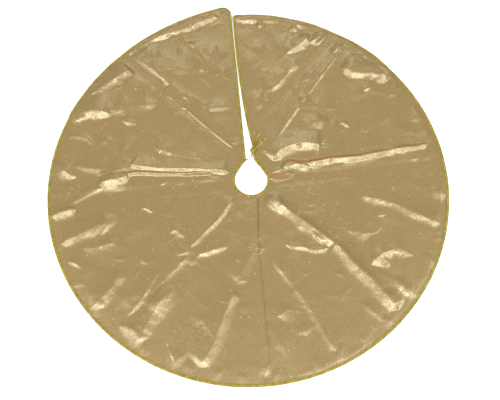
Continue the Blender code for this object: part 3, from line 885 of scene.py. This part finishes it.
class Look:
    """A material with a principled shader, and short ways to add nodes and wire them."""

    def __init__(self, name):
        self.material = bpy.data.materials.new(name)
        self.material.use_nodes = True
        tree = self.material.node_tree
        self.nodes, self.links = tree.nodes, tree.links
        self.nodes.clear()
        self.shader = self.node("BsdfPrincipled", {})
        self.node("OutputMaterial", {"Surface": self.shader.outputs[0]})
        self.place = self.node("TexCoord", {}).outputs["Object"]

    def fill(self, socket, value):
        """Links a socket to another node's output, or gives it a number, a vector or a colour."""
        if isinstance(value, bpy.types.NodeSocket):
            self.links.new(value, socket)
        else:
            socket.default_value = (*value, 1.0) if socket.type == "RGBA" else value

    def node(self, kind, inputs, **settings):
        node = self.nodes.new("ShaderNode" + kind)
        for key, value in settings.items():
            setattr(node, key, value)
        for key, value in inputs.items():
            self.fill(node.inputs[key], value)
        return node

    def surface(self, inputs):
        for key, value in inputs.items():
            self.fill(self.shader.inputs[key], value)

    def noise(self, scale, detail=2.0, rough=0.5, stretch=1.0, turn=0.0):
        """Noise, drawn out along one way of the plan where stretch is below 1."""
        place = self.place
        if stretch != 1.0:
            place = self.node("Mapping", {"Vector": place, "Scale": (1.0, stretch, 1.0),
                                          "Rotation": (0.0, 0.0, turn)}).outputs[0]
        return self.node("TexNoise", {"Vector": place, "Scale": scale, "Detail": detail,
                                      "Roughness": rough}).outputs[0]

    def threads(self, pitch, turn):
        """Bands one pitch apart across the direction turn, for one set of threads of a weave."""
        turned = self.node("Mapping", {"Vector": self.place, "Rotation": (0.0, 0.0, turn)})
        wave = self.node("TexWave", {"Vector": turned.outputs[0], "Scale": tau / 20.0 / pitch,
                                     "Distortion": 0.0, "Detail": 0.0},
                         wave_type="BANDS", bands_direction="X")
        return wave.outputs["Fac"]

    def maths(self, operation, *values):
        return self.node("Math", dict(enumerate(values)), operation=operation).outputs[0]

    def times(self, a, b):
        return self.maths("MULTIPLY", a, b)

    def fit(self, value, low, high, to_low=0.0, to_high=1.0):
        """A smooth step from to_low, where the value is low, to to_high, where it is high."""
        return self.node("MapRange", {"Value": value, "From Min": low, "From Max": high,
                                      "To Min": to_low, "To Max": to_high},
                         interpolation_type="SMOOTHSTEP").outputs[0]

    def mixed(self, factor, a, b):
        node = self.node("Mix", {}, data_type="RGBA")
        sockets = [s for s in node.inputs if s.name in ("Factor", "A", "B") and s.enabled]
        for socket, value in zip(sockets, (factor, a, b)):
            self.fill(socket, value)
        return next(s for s in node.outputs if s.enabled)

    def bump(self, height, distance, strength):
        node = self.node("Bump", {"Height": height, "Distance": distance, "Strength": strength})
        self.surface({"Normal": node.outputs[0]})

    def stored(self, name):
        """A value that the mesh keeps at each of its points."""
        return self.node("Attribute", {}, attribute_name=name).outputs["Fac"]


def gold_lame():
    """A fine weave with a metal thread: pale glitter on slopes, and warm brown shade painted where
    it turns from the light.
    """
    look = Look("gold_lame")
    cloudy = look.fit(look.noise(3.2, 3.0), 0.3, 0.7)
    blotch = look.fit(look.noise(26.0, 3.0, 0.6), 0.3, 0.7)
    grain = look.noise(270.0, 3.0, 0.7)
    weave = look.times(look.threads(0.0007, 0.0), look.threads(0.0007, pi / 2))
    dots = look.node("TexVoronoi", {"Vector": look.place, "Scale": 58.0})
    speck = look.fit(dots.outputs["Distance"], 0.07, 0.12, 1.0, 0.0)
    pick = look.node("SeparateColor", {0: dots.outputs["Color"]}).outputs
    dark = look.times(speck, look.fit(pick[0], 0.60, 0.62))
    pale = look.times(speck, look.fit(pick[1], 0.68, 0.70))
    colour = look.mixed(cloudy, (0.194, 0.129, 0.043), (0.208, 0.137, 0.045))
    for mask, share, tint in (
            (blotch, 0.25, (0.160, 0.103, 0.034)),
            (look.fit(grain, 0.35, 0.65), 0.14, (0.280, 0.215, 0.100)),
            (dark, 0.7, (0.110, 0.065, 0.020)),
            (pale, 0.7, (0.600, 0.520, 0.330)),
            # painted warm brown shade where the cloth turns from the light and inside the pleat
            (look.stored("painted_shade_away"), 0.65, (0.290, 0.100, 0.032)),
            # painted shade darkening the sharp packing creases
            (look.stored("crease_shade"), 0.6, (0.105, 0.062, 0.022))):
        colour = look.mixed(look.times(mask, share), colour, tint)
    glint = look.fit(look.noise(250.0, 3.0, 0.8), 0.38, 0.62, 0.22, 0.54)
    look.surface({
        "Base Color": colour,
        "Roughness": look.fit(grain, 0.3, 0.7, 0.25, 0.33),
        "IOR": 2.3,
        "Specular IOR Level": look.times(glint, look.maths("SUBTRACT", 1.0, look.times(dark, 0.6))),
        "Specular Tint": (0.98, 0.90, 0.64),
        "Coat Weight": 0.22,
        "Coat Roughness": 0.62,
        "Coat IOR": 1.5,
        "Coat Tint": (1.0, 0.97, 0.88),
    })
    look.bump(look.maths("MULTIPLY_ADD", weave, 0.20, grain), 0.0004, 0.5)
    return look.material


def lining_cloth():
    """Plain pale gold cloth, a dull tabby weave."""
    look = Look("lining_cloth")
    cloudy = look.fit(look.noise(5.0, 3.0), 0.3, 0.7)
    slub = look.noise(160.0, 2.0, 0.6, stretch=0.12)
    weave = look.maths("ADD", look.threads(0.0009, 0.0), look.threads(0.0009, pi / 2))
    colour = look.mixed(cloudy, (0.350, 0.275, 0.150), (0.430, 0.345, 0.195))
    for mask, share, tint in (
            (look.fit(slub, 0.5, 0.75), 0.45, (0.540, 0.450, 0.280)),
            (weave, 0.16, (0.240, 0.175, 0.085)),
            # painted shade darkening the sharp packing creases
            (look.stored("crease_shade"), 0.5, (0.200, 0.145, 0.070))):
        colour = look.mixed(look.times(mask, share), colour, tint)
    look.surface({"Base Color": colour, "Roughness": 0.82, "Sheen Weight": 0.15})
    look.bump(look.maths("ADD", weave, slub), 0.0003, 0.7)
    return look.material


def satin_tape(name, base, light):
    """Bias-cut satin: its threads run slantwise, with a yellow sheen painted into its colour along
    slanting streaks.
    """
    look = Look(name)
    streak = look.noise(300.0, 2.0, 0.6, stretch=0.10, turn=pi / 4)
    cloudy = look.fit(look.noise(85.0, 3.0, 0.7), 0.3, 0.7)
    # The streaks mix in a painted yellow sheen, and the mottling from base to light is partly
    # random tone and partly painted highlight.
    painted_sheen = look.times(look.fit(streak, 0.5, 0.8), 0.4)
    colour = look.mixed(painted_sheen, look.mixed(cloudy, base, light), (0.55, 0.46, 0.10))
    look.surface({"Base Color": colour, "Roughness": 0.40, "IOR": 1.6,
                  "Specular Tint": (1.0, 0.92, 0.45)})
    look.bump(look.maths("ADD", look.threads(0.0005, pi / 4), streak), 0.0002, 0.6)
    return look.material


def sewing_thread():
    look = Look("topstitch_thread")
    twist = look.threads(0.0004, pi / 5)
    colour = look.mixed(twist, (0.30, 0.24, 0.05), (0.46, 0.39, 0.10))
    look.surface({"Base Color": colour, "Roughness": 0.5})
    look.bump(twist, 0.0001, 0.5)
    return look.material


def pale_floor():
    look = Look("pale_floor")
    colour = look.mixed(look.noise(2.0), (0.90, 0.90, 0.90), (0.93, 0.93, 0.93))
    look.surface({"Base Color": colour, "Roughness": 0.9, "Specular IOR Level": 0.1})
    return look.material


# ---------------------------------------------------------------- camera, floor and light


def aim(obj, target):
    way = Vector(target) - obj.location
    obj.rotation_euler = way.to_track_quat("-Z", "Y").to_euler()


def make_camera():
    data = bpy.data.cameras.new("camera")
    camera = placed("camera", data)
    camera.location = (-0.0748, -0.7524, 1.7346)
    aim(camera, (-0.0021, -0.0836, 0.0))
    data.sensor_width = 36.0
    data.lens = 44.35
    data.clip_start = 0.05
    data.clip_end = 50.0
    bpy.context.scene.camera = camera


def soft_box(name, place, target, wide, deep, watts):
    data = bpy.data.lights.new(name, "AREA")
    data.shape = "RECTANGLE"
    data.size = wide
    data.size_y = deep
    data.energy = watts
    light = placed(name, data)
    light.location = place
    aim(light, target)


def make_floor():
    mesh = bpy.data.meshes.new("floor")
    reach = 8.0
    corners = [(x * reach, y * reach, 0.0) for x, y in ((-1, -1), (1, -1), (1, 1), (-1, 1))]
    mesh.from_pydata(corners, [], [(0, 1, 2, 3)])
    mesh.materials.append(pale_floor())
    placed("floor", mesh)


def make_light():
    world = bpy.data.worlds.new("studio")
    world.use_nodes = True
    background = world.node_tree.nodes["Background"]
    background.inputs["Color"].default_value = (1.0, 1.0, 1.0, 1.0)
    background.inputs["Strength"].default_value = 0.40
    bpy.context.scene.world = world
    soft_box("front_box", (-0.3, -3.9, 6.0), (0.0, 0.0, 0.0), 5.6, 3.4, 520.0)
    soft_box("left_box", (-5.2, -1.6, 5.2), (0.0, 0.0, 0.0), 3.0, 3.6, 280.0)
    soft_box("right_box", (5.2, -1.6, 5.2), (0.0, 0.0, 0.0), 3.0, 3.6, 250.0)
    soft_box("back_fill", (0.5, 5.4, 3.9), (0.0, 0.3, 0.0), 3.0, 3.0, 50.0)
    bpy.context.scene.view_settings.view_transform = "Standard"


# ---------------------------------------------------------------- assembly

make_camera()
make_floor()
make_light()

# One material for each slot, under the slot's name.
MATERIALS = {
    "gold_lame": gold_lame(),
    "lining_cloth": lining_cloth(),
    "bias_binding": satin_tape("bias_binding", (0.142, 0.102, 0.011), (0.275, 0.214, 0.024)),
    "tie_tape": satin_tape("tie_tape", (0.150, 0.106, 0.015), (0.330, 0.250, 0.033)),
    "topstitch_thread": sewing_thread(),
}


def finish_piece(obj, slot_name):
    obj.data.materials.append(MATERIALS[slot_name])


def bend_between(obj, body, start, end):
    """Bakes a piece's placement into its mesh."""
    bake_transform(obj)


# For each of the three wide pieces: the far body, and where the turn starts and ends.
TURNS = {
    "back": ("back", (0.0, 0.002), (0.0, -0.022)),
    "left": ("left_flap", LEFT_FOLD - 0.007 * LEFT_FOLD_OUT, LEFT_FOLD + 0.016 * LEFT_FOLD_OUT),
    "right": ("right_flap", RIGHT_FOLD - 0.012 * RIGHT_FOLD_OUT,
              RIGHT_FOLD + 0.012 * RIGHT_FOLD_OUT),
}

faces, face_sizes = make_cloth("gold_sheet", FACE_GRID, FACE_Z, FACE_T, 1.0)
linings, lining_sizes = make_cloth("lining_sheet", LINING_GRID, LINING_Z, LINING_T, LINING_FOLLOW)
for parts, slot_name in ((faces, "gold_lame"), (linings, "lining_cloth")):
    for side, obj in parts.items():
        finish_piece(obj, slot_name)
        bend_between(obj, *TURNS[side])
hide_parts("face_front_left", "face_left_flap")
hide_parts("face_front_right", "face_right_flap")
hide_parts("face_back")
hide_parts("lining_front_left", "lining_left_flap")
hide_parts("lining_front_right", "lining_right_flap")
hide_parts("lining_back")

# The bindings round the hem and the slit and round the neck, which are mitred where they meet.
edge_in, neck_in = inward(EDGE_PATH), -inward(NECK_EDGE)
joint_ways = (edge_in[0] + neck_in[0]) / 2, (edge_in[-1] + neck_in[-1]) / 2
edge_in = mitred(edge_in, path_reach(EDGE_PATH), *joint_ways)
neck_in = mitred(neck_in, path_reach(NECK_EDGE), *joint_ways)


def bound_edge(names, points, way_in, rings, side):
    """The tape over a stretch of edge and its stitches above and below, in the order of names."""
    pieces = [loft(names[0], rings), stitch_row(names[1], points, way_in, BINDING_HIGH, 1.0),
              stitch_row(names[2], points, way_in, BINDING_LOW, -1.0)]
    for piece, slot_name in zip(pieces, ("bias_binding", "topstitch_thread", "topstitch_thread")):
        finish_piece(piece, slot_name)
        bend_between(piece, *TURNS[side])
    return pieces


edge_rings = ring_stack(EDGE_PATH, edge_in, 21)
edge_turn = np.unwrap(np.arctan2(EDGE_PATH[:, 1], EDGE_PATH[:, 0]))
for side, part in three_parts(edge_turn).items():
    names = [stem + side for stem in ("edge_binding_", "edge_stitches_", "edge_stitches_under_")]
    bound_edge(names, EDGE_PATH[part], edge_in[part], edge_rings[part], side)
neck = bound_edge(["neck_binding_tape", "neck_stitches", "neck_stitches_under"],
                  NECK_EDGE, neck_in, ring_stack(NECK_EDGE, neck_in, 22), "back")

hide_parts("hem_binding_front_left", "edge_binding_left_flap")
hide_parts("hem_binding_back")
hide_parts("hem_binding_front_right", "edge_binding_right_flap",
            "slit_binding_front_right")
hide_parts("hem_stitching_front_left", "edge_stitching_left_flap")
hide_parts("hem_stitching_back")
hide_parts("hem_stitching_front_right", "edge_stitching_right_flap",
            "slit_stitching_front_right")
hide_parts("neck_binding_front_left", "neck_binding_front_right", "neck_binding_back")
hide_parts("neck_stitching_front_left", "neck_stitching_front_right",
            "neck_stitching_back")

# The ties: two strands, the knot and two tails.
KNOT = np.array((0.0125, 0.0965, 0.0090))
LEFT_STRAND = [(-0.0180, 0.0610, 0.0046), (-0.0130, 0.0668, 0.0046), (-0.0050, 0.0690, 0.0048),
               (0.0035, 0.0712, 0.0056), (0.0078, 0.0790, 0.0070), (0.0104, 0.0900, 0.0088)]
RIGHT_STRAND = [(0.0300, 0.0420, 0.0046), (0.0225, 0.0540, 0.0048), (0.0172, 0.0655, 0.0054),
                (0.0146, 0.0780, 0.0068), (0.0134, 0.0900, 0.0086)]
TAIL_MARKS = ((0.0, 0.0, 0.0082), (0.16, 0.15, 0.0074), (0.40, 0.9, 0.0062), (0.70, 0.8, 0.0060),
              (1.0, 0.0, 0.0062))
HIDDEN_END = 0.0060


def tied(obj):
    """A piece of the tie that stays with the front."""
    finish_piece(obj, "tie_tape")
    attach(obj, "front")
    return obj


def make_strand(name, points, width, edge_on):
    t = np.linspace(0.0, 1.0, 44)
    rolls = edge_on * smooth((t - 0.18) / 0.20) * smooth((1.02 - t) / 0.25)
    widths = width * (1.0 - 0.28 * smooth((t - 0.75) / 0.25))
    return tied(tape(name, space_curve(points, len(t)), widths, rolls, cup=0.03))


def plan_axes(angle):
    """Unit vectors in space along an angle in plan and square to it on the left."""
    return (np.append(direction(way), 0.0) for way in (angle, angle + pi / 2))


def knot_wrap(name, turn, shift, radius, tall, width, tilt):
    """One turn of tape round the bundle; turn is its axis's heading in plan."""
    axis, side = plan_axes(turn)
    t = np.arange(56)[:, None] * tau / 56
    reach = radius * (1.0 + 0.05 * np.sin(3 * t + turn))
    line = KNOT + axis * shift + np.cos(t) * reach * side + np.sin(t) * tall * UP \
        + tilt * np.sin(t + 0.6) * axis
    out = np.cos(t) / radius * side + np.sin(t) / tall * UP
    out /= np.linalg.norm(out, axis=1, keepdims=True)
    widths = width * (1 + 0.07 * np.sin(2 * t[:, 0] + 1.0))
    tied(tape(name, line, widths, np.zeros(len(t)), cup=0.09, cyclic=True, up=out))


def knot_core():
    """The bundle inside the knot, gathered where the wraps hold it."""
    axis, side = plan_axes(radians(68))
    a = np.arange(30)[:, None] * tau / 30
    rings = []
    for t in np.linspace(-1.0, 1.0, 25):
        pleat = 1.0 + 0.07 * np.cos(6 * a + 1.5 * t) + 0.04 * np.cos(9 * a - t)
        size = (0.72 + 0.28 * cos(t * pi * 0.9)) * pleat
        rings.append(KNOT + axis * t * 0.0088
                     + size * (0.0050 * np.cos(a) * side + 0.0026 * np.sin(a) * UP))
    return tied(loft("knot_bundle", rings))


def make_tail(name, base, tip, body, node, bow, seed):
    """A loose end of the tape, which bows sideways."""
    base, tip = np.array(base), np.array(tip)
    length = np.linalg.norm(tip - base)
    way = (tip - base) / length
    side = np.array((-way[1], way[0]))
    start = base - way * HIDDEN_END
    marks = [(*(start + (tip - start) * t + side * out * bow), z) for t, out, z in TAIL_MARKS]
    t = np.linspace(0.0, 1.0, 60)
    widths = 0.0050 + 0.0040 * smooth((t - 0.12) / 0.30)
    rolls = radians(26) * np.sin(t * 4.0 + seed) * smooth(t / 0.2) * smooth((1.1 - t) / 0.4)
    obj = tape(name, space_curve(marks, len(t)), widths, rolls, end_slant=0.0045, cup=0.04)
    finish_piece(obj, "tie_tape")
    bend_between(obj, body, base - way * 0.002, base + way * 0.012)
    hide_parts(node)


left_strand = make_strand("tie_band_left", LEFT_STRAND, 0.0048, radians(70))
right_strand = make_strand("tie_band_right", RIGHT_STRAND, 0.0058, radians(-12))
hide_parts("tie_strand_left")
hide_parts("tie_strand_right")
bundle = knot_core()
knot_wrap("knot_wrap_low", radians(74), -0.0022, 0.0060, 0.0032, 0.0062, 0.0010)
knot_wrap("knot_wrap_high", radians(38), 0.0024, 0.0060, 0.0030, 0.0056, -0.0012)
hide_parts("tie_knot")
make_tail("tie_end_left", (0.0150, 0.1075), (0.0460, 0.1570), "left_tail", "tie_tail_left",
          0.0020, 0.0)
make_tail("tie_end_right", (0.0225, 0.1015), (0.0565, 0.1340), "right_tail", "tie_tail_right",
          -0.0020, 2.0)
